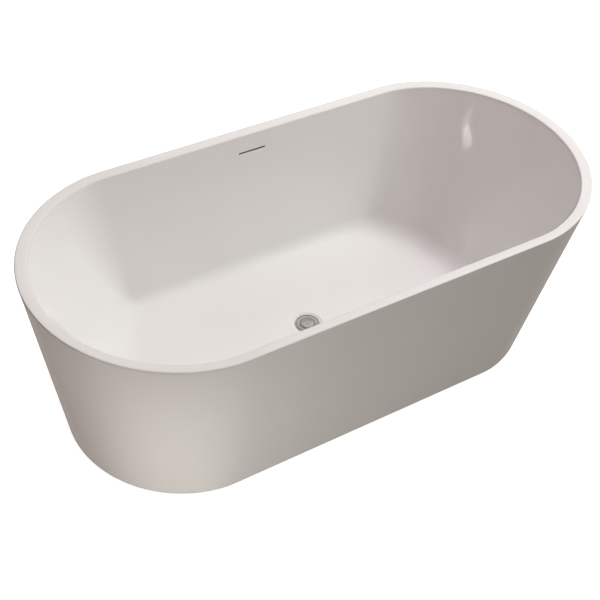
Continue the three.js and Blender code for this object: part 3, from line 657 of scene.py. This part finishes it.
def makeFlange():
    w = waste
    under, bore, tail, rim = w["flangeUnder"], w["bore"], w["tail"], w["flange"]
    lip = softened([
        (tail, under), (rim, under), (rim, under + 0.0014), (rim - 0.0014, under + 0.0022),
        (rim - 0.006, under + 0.0013), (tail - 0.0004, under + 0.0009), (bore, under - 0.0025)],
        [0.0002, 0.0006, 0.0009, 0.0012, 0.003, 0.0016, 0.0008], 6, closed=False)
    threadR, threadZ = threadRows(tail, w["threadDepth"], w["pitch"], w["tailEnd"] + 0.001, under - 0.008, 96)
    radius = [bore, tail - 0.0009] + threadR + list(lip[:, 0])
    height = [w["tailEnd"], w["tailEnd"]] + threadZ + list(lip[:, 1])
    shell = revolved(radius, height, 96)
    middle = (w["spiderLow"] + w["spiderHigh"]) / 2
    tall = (w["spiderHigh"] - w["spiderLow"]) / 2
    boss = turned([(w["bossBore"], middle - tall), (w["boss"], middle - tall),
                   (w["boss"], middle + tall), (w["bossBore"], middle + tall)], 0.0008)
    arms = []
    for turn in (0, 90, 180, 270):
        # an arm is an upright rounded slab from the boss to the bore
        section = softened([(-w["arm"] / 2, -tall), (w["arm"] / 2, -tall), (w["arm"] / 2, tall),
                            (-w["arm"] / 2, tall)], 0.0011)
        reach = np.array([w["boss"] - 0.0008, bore + 0.0005])
        points = np.stack([
            np.broadcast_to(reach[:, None], (2, len(section))),
            np.broadcast_to(section[:, 0], (2, len(section))),
            np.broadcast_to(section[:, 1] + middle, (2, len(section)))], -1)
        ends = np.stack([points[0].mean(0)[None].repeat(len(section), 0), *points,
                         points[1].mean(0)[None].repeat(len(section), 0)])
        arms.append(moved(body(ends, closeRows=False), turn=(0, 0, turn)))
    addPiece("waste_flange", [shell, boss, *arms], "bath", [chrome], ["drain_flange"], sharpOver=40)


def makePlug():
    w = waste
    z, r = w["capLevel"], w["plug"]
    # a shallow dome: a quarter sine from the shoulder up to the crown, less a dimple in the middle
    s = np.linspace(0, 1, 18)
    domeR = (r - 0.0022) * (1 - s)
    dome = z + 0.0022 + 0.0010 * np.sin(np.pi / 2 * s) - 0.0006 * np.exp(-(domeR / 0.0045) ** 2)
    edge = softened([
        (0, z), (r - 0.001, z), (r, z + 0.0007), (r - 0.0004, z + 0.0015), (r - 0.0022, z + 0.0022)],
        [0, 0.0004, 0.0005, 0.0005, 0.0004], 5, closed=False)
    cap = revolved(list(edge[:, 0]) + list(domeR[1:]), list(edge[:, 1]) + list(dome[1:]), 96, False)
    addPiece("plug_dome", [cap], "plug", [chrome], ["plug_cap"])
    inner, bore, under = w["sealInner"], w["bore"], z - w["gap"]
    seal = turned([(inner, z - 0.003), (bore - 0.0012, z - 0.003), (bore - 0.0006, z - 0.0016),
                   (bore - 0.0011, under), (inner, under)], 0.0006, 72)
    addPiece("plug_ring", [seal], "plug", [rubber], ["plug_seal"])
    stem = turned([(0, w["stemEnd"]), (w["stem"], w["stemEnd"]), (w["stem"], w["collarUnder"]),
                   (w["collar"], w["collarUnder"]), (w["collar"], under), (0, under)], 0.0006, 36, closed=False)
    addPiece("plug_rod", [stem], "plug", [whitePlastic], ["plug_stem"])
    inner, outer, bottom, top = w["sleeve"]
    sleeve = turned([(inner, bottom), (outer, bottom), (outer, top), (inner, top)], 0.0005, 36)
    addPiece("click_sleeve", [sleeve], "bath", [whitePlastic], ["plug_cartridge"])


def ringPiece(name, nodeName, inner, rounding=0.0006, segments=72):
    lowest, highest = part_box(nodeName)
    outer, bottom, top = highest[0], lowest[2], highest[2]
    shape = turned([(inner, bottom), (outer, bottom), (outer, top), (inner, top)], rounding, segments)
    addPiece(name, [shape], "bath", [rubber], [nodeName])


def hexBody(acrossFlats, bore, bottom, height, segments=72):
    # a hexagon's radius at each angle, cut by a cone that takes the corners off above and below
    angle = np.linspace(0, 2 * np.pi, segments, endpoint=False)
    angleFromFlat = (angle % (np.pi / 3)) - np.pi / 6
    radius = acrossFlats / 2 / np.cos(angleFromFlat)
    cap = acrossFlats / 2 * 0.96
    drop = np.maximum(radius - cap, 0) * math.tan(math.radians(30))
    top = bottom + height
    radii = [bore, cap, radius, radius, cap, bore]
    return revolved(radii, [bottom, bottom, bottom + drop, top - drop, top, top], segments)


def lobed(radius, depth, lobes, segments=120):
    # a grip: radius waves in and out once a lobe, flattened so that the lobes stand out
    angle = np.linspace(0, 2 * np.pi, segments, endpoint=False)
    return radius - depth * (0.5 - 0.5 * np.cos(lobes * angle)) ** 2


def makeWasteBelow():
    w = waste
    lowest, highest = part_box("drain_lock_nut")
    nut = hexBody(highest[1] - lowest[1], w["tail"] + w["gap"], lowest[2], highest[2] - lowest[2])
    addPiece("waste_nut", [nut], "bath", [whitePlastic], ["drain_lock_nut"])
    lowest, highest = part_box("tee_slip_nut")
    grip, lowZ, topZ = lobed(highest[1], 0.0022, 12), lowest[2], highest[2]
    step = w["tailEnd"] + w["gap"]
    collar = w["tailEnd"] - 0.0046
    radius = [0.0203, grip - 0.0015, grip, grip, grip - 0.0015, 0.0234, 0.0234, 0.0263, 0.0263, 0.0203]
    height = [lowZ, lowZ, lowZ + 0.0015, topZ - 0.0015, topZ, topZ, step, step, collar, collar]
    slipNut = revolved(radius, height, 120)
    addPiece("slip_nut", [slipNut], "bath", [whitePlastic], ["tee_slip_nut"])
    lowest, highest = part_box("waste_tee")
    outer, bore, collar, lowZ, topZ = w["tee"], w["teeBore"], w["teeCollar"], lowest[2], highest[2]
    collarLow = topZ - w["teeCollarTall"]
    tube = turned([
        (bore, lowZ), (outer, lowZ), (outer, collarLow), (collar, collarLow), (collar, topZ), (bore, topZ)],
        0.0008, 72)
    # the branch ends in three barbs, each a slow rise and a quick fall
    root, step = 0.019, 0.040
    barbs = [
        (w["branchBore"], root), (w["branch"], root), (w["branch"], step), (0.006, step), (0.0058, 0.046),
        (0.0065, 0.052), (0.0056, 0.0525), (0.0065, 0.0585), (0.0056, 0.059), (0.0064, 0.065), (0.0056, 0.0655),
        (0.0055, highest[1]), (w["branchBore"], highest[1])]
    branch = moved(turned(barbs, 0.0004, 36), (0, 0, w["branchLevel"]), (-90, 0, 0))
    addPiece("tee_body", [tube, branch], "bath", [whitePlastic], ["waste_tee"])


makeFlange()
makePlug()
ringPiece("flange_seal", "drain_gasket_upper", waste["tail"] + waste["gap"], 0.0004)
ringPiece("floor_seal", "drain_gasket_lower", waste["tail"] + waste["gap"])
makeWasteBelow()


print("bath: overflow")

hose = {
    "radius": 0.008, "bore": 0.0066, "pitch": 0.0042, "ripple": 0.0007, "cuff": 0.024,
    "level": waste["branchLevel"], "clampWidth": 0.009, "clampBand": 0.0008,
}
overflowOut = 0.0098  # from the basin's back to the middle of the chamber's outlet


def smoothRoute(points, perSpan=60):
    # centripetal Catmull-Rom curve: each span leaves and arrives along the line between its neighbours
    p = np.array(points, float)
    p = np.vstack([2 * p[0] - p[1], p, 2 * p[-1] - p[-2]])
    spans = []
    for p0, p1, p2, p3 in zip(p, p[1:], p[2:], p[3:]):
        d0, d1, d2 = (max(np.linalg.norm(b - a), 1e-6) ** 0.5 for a, b in ((p0, p1), (p1, p2), (p2, p3)))
        m1 = ((p1 - p0) / d0 - (p2 - p0) / (d0 + d1) + (p2 - p1) / d1) * d1
        m2 = ((p2 - p1) / d1 - (p3 - p1) / (d1 + d2) + (p3 - p2) / d2) * d1
        t = np.linspace(0, 1, perSpan, endpoint=False)[:, None]
        cubic = 2 * p1 - 2 * p2 + m1 + m2
        square = -3 * p1 + 3 * p2 - 2 * m1 - m2
        spans.append(cubic * t ** 3 + square * t ** 2 + m1 * t + p1)
    return np.vstack([*spans, p[-2:-1]])


def alongPath(route, spacing):
    # the same path with evenly spaced points, and the distance of each from the start
    steps = np.linalg.norm(np.diff(route, axis=0), axis=1)
    at = np.concatenate([[0], np.cumsum(steps)])
    even = np.linspace(0, at[-1], int(at[-1] / spacing) + 1)
    return np.stack([np.interp(even, at, route[:, i]) for i in range(3)], -1), even


def betweenWalls(height):
    # half way between the basin's back and the inside of the skirt
    return (wallAt([height])[0, 1] + basin["wall"] + skirtAt([height])[0, 1] - skirt["thick"]) / 2


def inOverflow(y, z):
    # a place behind the slot, in axes that lean with the wall
    origin = np.array([0, wallAt([slotSizes["level"]])[0, 1] + basin["wall"], slotSizes["level"]])
    sine, cosine = math.sin(wallLean), math.cos(wallLean)
    return origin + np.array([0, y * cosine + z * sine, z * cosine - y * sine])


def makeHose():
    start = inOverflow(overflowOut, -0.024)
    route = smoothRoute([
        start, start - [0, 0.020 * math.tan(wallLean), 0.020], (0, betweenWalls(0.380), 0.380),
        (0, betweenWalls(0.280), 0.280), (0, betweenWalls(0.190), 0.190),
        (0, betweenWalls(0.135) - 0.001, 0.130), (0, 0.292, 0.082), (0, 0.240, 0.064),
        (0, 0.180, hose["level"]), (0, 0.110, hose["level"]), (0, 0.044, hose["level"])])
    path, distance = alongPath(route, hose["pitch"] / 8)
    tangent = np.gradient(path, axis=0)
    tangent /= np.linalg.norm(tangent, axis=1, keepdims=True)
    side = np.array([1.0, 0, 0])
    over = np.cross(tangent, side)
    # the radius dips once a pitch between the plain cuffs at the two ends
    plain = np.minimum(distance, distance[-1] - distance) < hose["cuff"]
    dip = np.where(plain, 0, 0.5 - 0.5 * np.cos(2 * np.pi * distance / hose["pitch"]))
    angle = np.linspace(0, 2 * np.pi, 24, endpoint=False)

    def wall(radius):
        ring = np.cos(angle)[None, :, None] * side + np.sin(angle)[None, :, None] * over[:, None]
        return path[:, None] + ring * radius[:, None, None]

    outer = wall(hose["radius"] - hose["ripple"] * dip)
    inner = wall(np.full(len(path), hose["bore"]))
    shape = body(np.concatenate([outer, inner[::-1]]))
    addPiece("ribbed_hose", [shape], "bath", [hosePlastic], ["overflow_hose"])


def makeClamp(name, nodeName, place, turn):
    # a plain flat band
    inner = hose["radius"] + waste["gap"]
    outer, half = inner + hose["clampBand"], hose["clampWidth"] / 2
    band = turned([(inner, -half), (outer, -half), (outer, half), (inner, half)], 0.0002, 60)
    addPiece(name, [moved(band, place, turn)], "bath", [zinc], [nodeName])


makeHose()
makeClamp("upper_band", "hose_clamp_upper", inOverflow(overflowOut, -0.034), (-math.degrees(wallLean), 0, 0))
makeClamp("lower_band", "hose_clamp_lower", (0, 0.058, hose["level"]), (90, 0, 0))
# the chamber's charcoal colour is partly the part's own and partly painted shade: it darkens the slot as the
# shadow inside the closed chamber would
refined("overflow_chamber", "bath", nylon, 0.0008)
refined("overflow_gasket", "bath", rubber, 0.0003)


print("bath: base board and frame")

rails = ["long_rail_front", "long_rail_rear"]
crossMembers = ["cross_member_left", "cross_member_middle", "cross_member_right"]

refined("base_board", "bath", birch, 0.0008)
for nodeName in rails + crossMembers:
    refined(nodeName, "bath", galvanised, 0.0014, 3)
for nodeName in numbered("skirt_bracket", 4):
    refined(nodeName, "bath", galvanised, 0.0006)


def screwShapes(headRadius, headHeight, radius, reach, pitch):
    # washer-head screw: hexagon on a flange, then a threaded shank that ends in a point
    threadR, threadZ = threadRows(radius, radius * 0.3, pitch, 0.0008, reach - 2 * radius, 20)
    flange = -headHeight * 0.35
    shankR = [0, headRadius, headRadius, radius] + threadR + [radius * 0.8, 0]
    shankZ = [flange, flange, 0, 0] + threadZ + [reach - 1.6 * radius, reach]
    shank = revolved(shankR, shankZ, 20, False)
    dimple = headRadius * 0.2
    head = hexBody(headRadius * 1.5, dimple, -headHeight, headHeight * 0.7, 48)
    # a disc fills the middle of the hexagon and leaves a shallow dimple
    bottom, top = -headHeight * 0.75, -headHeight * 0.4
    dimpleFloor = revolved([0, dimple, dimple, 0], [bottom, bottom, top, top], 48, False)
    return [shank, head, dimpleFloor]


# count, then head radius, head height, shank radius, reach and thread pitch
screws = {
    "rail_screw": (6, (0.005, 0.003, 0.0025, 0.0373, 0.0022)),
    "bracket_screw": (4, (0.0045, 0.003, 0.002, 0.0133, 0.0014)),
}


def makeScrews():
    for start, (count, sizes) in screws.items():
        headHeight = sizes[1]
        for nodeName in numbered(start, count):
            lowest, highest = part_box(nodeName)
            middle = (np.array(lowest) + np.array(highest)) / 2
            place = (middle[0], middle[1], lowest[2] + headHeight)
            shapes = [moved(shape, place) for shape in screwShapes(*sizes)]
            addPiece(f"{nodeName}_fine", shapes, "bath", [zinc], [nodeName])


makeScrews()


def bead(start, end, radius, ripple=0.0016):
    # a weld bead: a round string whose radius swells once a ripple and closes at both ends
    start, end = np.array(start, float), np.array(end, float)
    length = np.linalg.norm(end - start)
    along = (end - start) / length
    s = np.linspace(0, 1, int(length / ripple) * 5)
    close = np.sqrt(np.clip(1 - (2 * s - 1) ** 8, 0, 1))
    r = radius * close * (0.88 + 0.12 * np.abs(np.sin(np.pi * s * length / ripple)))
    side = np.cross(along, (0, 0, 1))
    up = np.cross(side, along)
    angle = np.linspace(0, 2 * np.pi, 12, endpoint=False)
    ring = np.cos(angle)[:, None] * side + np.sin(angle)[:, None] * up
    points = (start + along * length * s[:, None])[:, None] + ring[None] * r[:, None, None]
    return body(points, closeRows=False)


def makeWelds():
    # one along each side of a rail where it lies on a cross member
    short, lift, size = 0.002, 0.0002, 0.0026
    beads = []
    for rail in rails:
        railLow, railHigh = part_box(rail)
        for crossMember in crossMembers:
            crossLow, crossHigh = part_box(crossMember)
            z = crossHigh[2] + lift
            for y in (railLow[1], railHigh[1]):
                beads.append(bead((crossLow[0] + short, y, z), (crossHigh[0] - short, y, z), size))
    addPiece("frame_welds", beads, "bath", [galvanised])


makeWelds()


print("bath: feet")

foot = {
    "stud": 0.006, "pitch": 0.00175, "threadDepth": 0.0009, "collarFlats": 0.017, "collarTall": 0.006,
    "bore": 0.0063, "gap": 0.0003,
}


def padShape(radius, height):
    # a low cone with a rounded skirt, a neck for the stud and a rim round a shallow hollow underneath
    neck, bore, floor = 0.0115, foot["bore"], 0.006
    profile = [
        (0, 0.0012), (radius - 0.006, 0.0012), (radius - 0.0045, 0), (radius - 0.0006, 0), (radius, 0.0009),
        (radius, 0.0045), (radius - 0.002, 0.0062), (0.0135, 0.0118), (neck, 0.0128), (neck, height),
        (bore, height), (bore, floor), (0, floor)]
    return turned(profile, 0.0006, 72, closed=False)


def makeFoot(number):
    padLow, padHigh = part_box(f"foot_pad_{number}")
    studLow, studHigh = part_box(f"foot_stud_{number}")
    place = ((padLow[0] + padHigh[0]) / 2, (padLow[1] + padHigh[1]) / 2, 0)
    rides = f"foot_{number}"
    pad = padShape((padHigh[0] - padLow[0]) / 2, padHigh[2])
    addPiece(f"pad_{number}", [moved(pad, place)], rides, [nylon], [f"foot_pad_{number}"])

    radius, bottom, top = foot["stud"], studLow[2], studHigh[2]
    collarLow = padHigh[2] + foot["gap"]
    threadLow = collarLow + foot["collarTall"]
    threadR, threadZ = threadRows(radius, foot["threadDepth"], foot["pitch"], threadLow, top - 0.0008, 30)
    shank = revolved([0, radius, radius] + threadR + [radius - 0.001, 0],
                     [bottom, bottom, collarLow] + threadZ + [top, top], 30, False)
    collar = hexBody(foot["collarFlats"], radius * 0.6, collarLow, foot["collarTall"])
    addPiece(f"stud_{number}", [moved(shank, place), moved(collar, place)], rides, [zinc],
             [f"foot_stud_{number}"])
    for nodeName in (f"weld_nut_{number}", f"lock_nut_{number}"):
        nutLow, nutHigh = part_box(nodeName)
        nut = hexBody(nutHigh[1] - nutLow[1], foot["bore"], nutLow[2], nutHigh[2] - nutLow[2])
        addPiece(f"{nodeName}_fine", [moved(nut, place)], "bath", [zinc], [nodeName])


for footNumber in range(1, 6):
    makeFoot(footNumber)


print("bath: floor, light and camera")

cameraSizes = {
    "place": (-1.596, -2.071, 2.7155), "yaw": 36.96, "pitch": 43.65, "roll": 6.52, "lens": 74.73, "sensor": 36,
    "farthest": 60,
}
studio = {
    "skyAbove": (0.295, 0.228, 0.214), "skyBelow": (0.455, 0.395, 0.363), "darkFrom": -0.6,
    "paperHalf": 150.0, "paperGlow": 0.8,
    # azimuth from +X, elevation, distance, diameter, power, colour
    "lamps": {
        "key": (0, 50, 6.0, 1.2, 116, (1.01, 1.0, 0.98)),
        "key_near": (15, 50, 3.5, 0.7, 9.6, (0.87, 1.09, 1.04)),
        "front": (-45, 40, 6.0, 1.2, 62, (0.88, 1.13, 0.99)),
        "high": (-30, 70, 3.5, 0.7, 29.5, (1.0, 0.96, 1.04)),
        "back": (90, 50, 6.0, 1.2, 42, (0.92, 1.05, 1.03))},
    "lampAim": (0, 0, 0.4),
    # place, power, radius
    "bounce": {"bounce_low": ((-1.1, -1.0, 0.02), 25.5, 0.25), "bounce_mid": ((-0.2, -1.2, 0.05), 1.9, 0.25)},
    "bounceColour": (1.01, 1.03, 0.96),
    # aim, azimuth, elevation, tilt, width, height, power: these show only as gleams on wall and drain
    "gleams": {
        "strip_bright": ((0.69, 0.21, 0.456), -160.5, 17.8, -8.2, 0.95, 0.075, 1.0),
        "strip_faint": ((0.69, 0.21, 0.456), -151.5, 16.4, -8.2, 0.8, 0.10, 0.45),
        "panel": ((0, 0, 0.13), 52, 46, 0, 1.8, 1.8, 3.5)},
    "gleamDistance": 4.0,
}


def makeCamera():
    camera = linked("camera", bpy.data.cameras.new("camera"))
    camera.location = cameraSizes["place"]
    turn = (Matrix.Rotation(math.radians(-cameraSizes["yaw"]), 3, "Z")
            @ Matrix.Rotation(math.radians(90 - cameraSizes["pitch"]), 3, "X")
            @ Matrix.Rotation(math.radians(cameraSizes["roll"]), 3, "Z"))
    camera.rotation_euler = turn.to_euler()
    camera.data.lens = cameraSizes["lens"]
    camera.data.sensor_width = cameraSizes["sensor"]
    camera.data.clip_end = cameraSizes["farthest"]
    bpy.context.scene.camera = camera


def makeFloor():
    # a wide sheet of white paper; it glows a little so that the bath's shadow stays faint
    mesh = bpy.data.meshes.new("studio_floor")
    half = studio["paperHalf"]
    corners = [(-half, -half, 0), (half, -half, 0), (half, half, 0), (-half, half, 0)]
    mesh.from_pydata(corners, [], [(0, 1, 2, 3)])
    floor = linked("studio_floor", mesh)
    floor.visible_diffuse = floor.visible_glossy = False
    material, tree, place = newMaterial("white_paper")
    grain = node(tree, "ShaderNodeTexNoise", {"Vector": place, "Scale": 400.0})
    tone = blended(tree, grain.outputs["Fac"], "#F4F4F4", "#F8F8F8")
    mesh.materials.append(shaded(material, {
        "Base Color": tone, "Roughness": 1.0, "Specular IOR Level": 0.0,
        "Emission Color": rgba("#FFFFFF"), "Emission Strength": studio["paperGlow"]}))


def placed(name, lamp, place, away=None):
    # an area lamp shines against the direction `away`
    holder = linked(name, lamp)
    holder.location = place
    if away is not None:
        holder.rotation_euler = away.to_track_quat("Z", "Y").to_euler()
    return holder


def direction(azimuth, elevation):
    a, e = math.radians(azimuth), math.radians(elevation)
    return Vector((math.cos(a) * math.cos(e), math.sin(a) * math.cos(e), math.sin(e)))


def makeLight():
    world = bpy.data.worlds.new("studio")
    bpy.context.scene.world = world
    world.use_nodes = True
    tree = world.node_tree
    tree.nodes.clear()
    # light from above and from straight below, with a dark belt under the horizon
    skyWay = node(tree, "ShaderNodeTexCoord").outputs["Generated"]
    height = node(tree, "ShaderNodeSeparateXYZ", {"Vector": skyWay})
    level = node(tree, "ShaderNodeMapRange", {"Value": height.outputs["Z"], "From Min": -1.0, "From Max": 1.0})
    belts = node(tree, "ShaderNodeValToRGB", {"Fac": level.outputs["Result"]})
    beltStart, horizon = (1 + studio["darkFrom"]) / 2, 0.5
    stops = belts.color_ramp.elements
    stops[0].position, stops[0].color = beltStart - 0.01, (*studio["skyBelow"], 1)
    stops[1].position, stops[1].color = horizon + 0.005, (*studio["skyAbove"], 1)
    for position in (beltStart + 0.01, horizon - 0.005):
        stops.new(position).color = (0, 0, 0, 1)
    glow = node(tree, "ShaderNodeBackground", {"Color": belts.outputs["Color"], "Strength": 1.0})
    end = node(tree, "ShaderNodeOutputWorld")
    tree.links.new(glow.outputs["Background"], end.inputs["Surface"])
    for name, (azimuth, elevation, distance, size, power, colour) in studio["lamps"].items():
        lamp = bpy.data.lights.new(name, "AREA")
        lamp.shape = "DISK"
        lamp.size, lamp.energy, lamp.color = size, power, colour
        way = direction(azimuth, elevation)
        holder = placed(name, lamp, Vector(studio["lampAim"]) + way * distance, way)
        holder.visible_camera = holder.visible_glossy = False
    for name, (place, power, radius) in studio["bounce"].items():
        lamp = bpy.data.lights.new(name, "POINT")
        lamp.energy, lamp.shadow_soft_size, lamp.color = power, radius, studio["bounceColour"]
        holder = placed(name, lamp, place)
        holder.visible_camera = holder.visible_glossy = False
    for name, (aim, azimuth, elevation, tilt, width, height, power) in studio["gleams"].items():
        lamp = bpy.data.lights.new(name, "AREA")
        lamp.shape = "ELLIPSE"
        lamp.size, lamp.size_y, lamp.energy = width, height, power
        way = direction(azimuth, elevation)
        holder = placed(name, lamp, Vector(aim) + way * studio["gleamDistance"], way)
        holder.rotation_euler.rotate_axis("Z", math.radians(tilt))
        holder.visible_camera = holder.visible_diffuse = False
    bpy.context.scene.view_settings.view_transform = "Standard"


makeCamera()
makeFloor()
makeLight()
